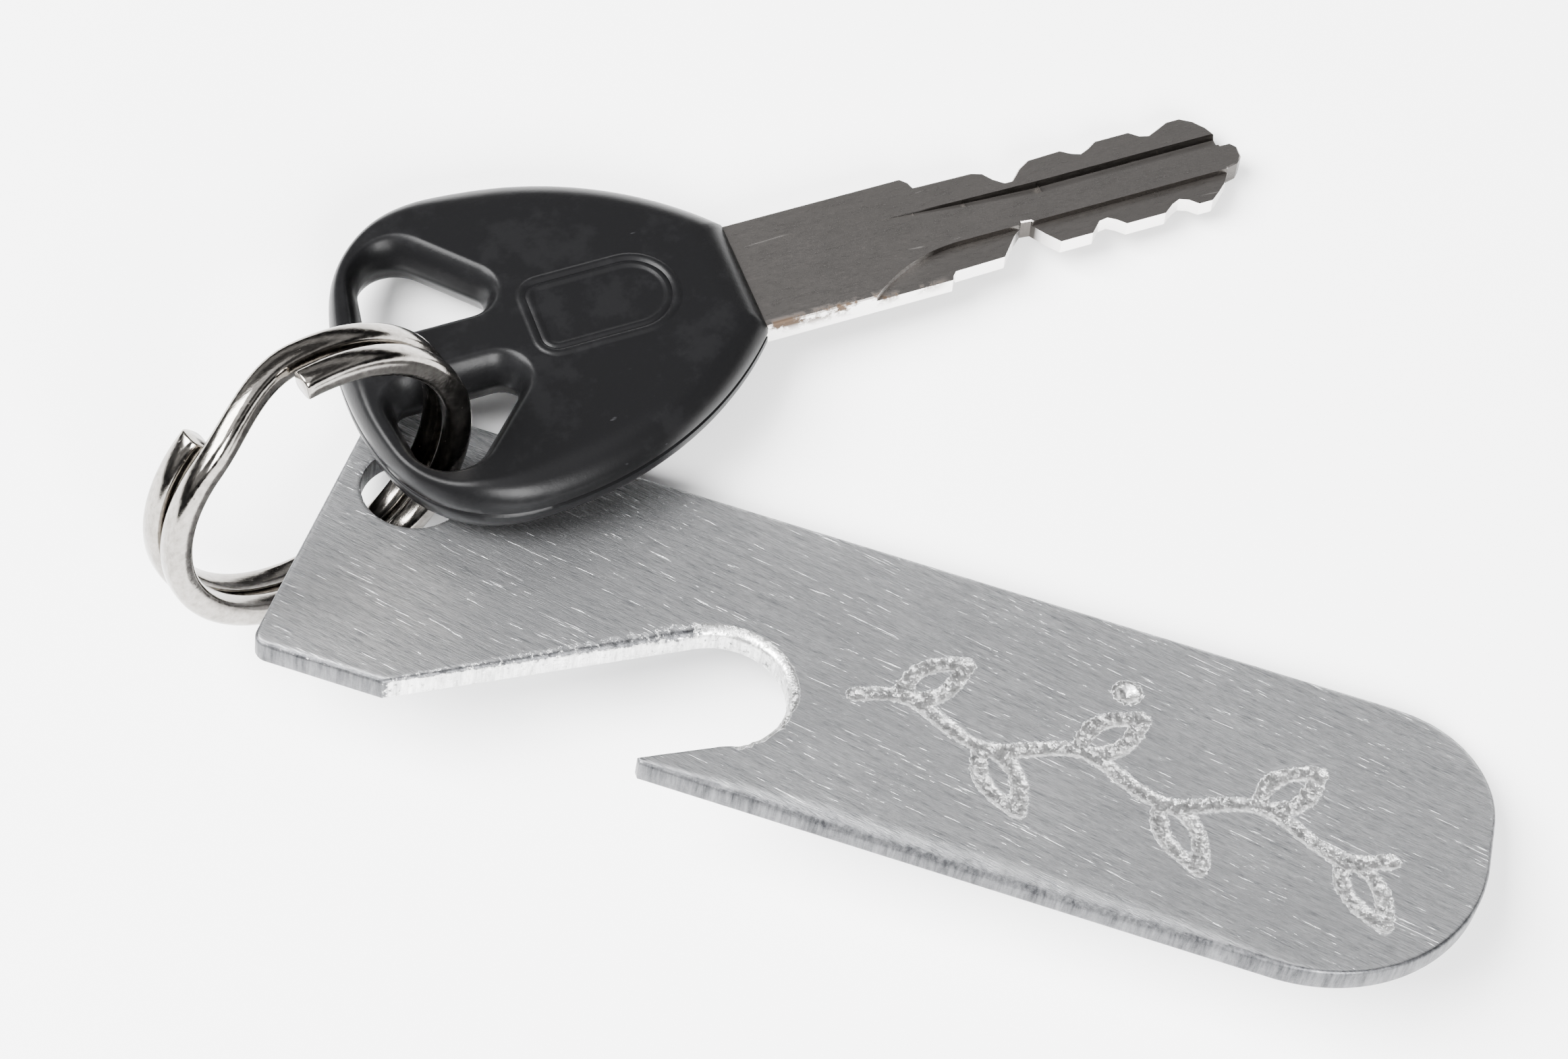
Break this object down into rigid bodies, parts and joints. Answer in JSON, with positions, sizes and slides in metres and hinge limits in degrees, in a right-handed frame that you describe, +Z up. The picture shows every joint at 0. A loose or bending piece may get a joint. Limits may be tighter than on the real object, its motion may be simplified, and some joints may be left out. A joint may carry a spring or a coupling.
{
  "type": "keychain bottle opener",
  "caption": "Flat aluminium bar with a crown-cap notch, hung with a moulded-head key on a split ring.",
  "frame": {"origin": "middle of the bounding box of the object as it lies, on the surface under it", "axes": "+X along the bar away from the ring, +Y from the bar towards the key, +Z up from the surface"},
  "size_m": [0.0948, 0.0664, 0.0249],
  "materials": {
    "bar": "coarse brushed, hand filed edges",
    "ring": "polished nickel plate, worn",
    "blade": "milled, worn satin",
    "head": "black satin moulding"
  },
  "bodies": {
    "opener": {"opener_plate": "bar"},
    "ring": {"split_ring": "ring"},
    "key": {"key_head": "head", "key_blade": "blade"}
  },
  "joints": [
    {"name": "ring_swing", "type": "hinge", "parent": "opener", "child": "ring", "pos_m": [-0.0334, -0.01631, 0.00342], "axis": [0, 0.3322, 0.9432], "range_deg": [-190, 5]},
    {"name": "key_turn", "type": "hinge", "parent": "ring", "child": "key", "pos_m": [-0.03866, -0.02062, 0.01257], "axis": [0.8039, -0.561, 0.1976], "range_deg": [0, 170]}
  ]
}
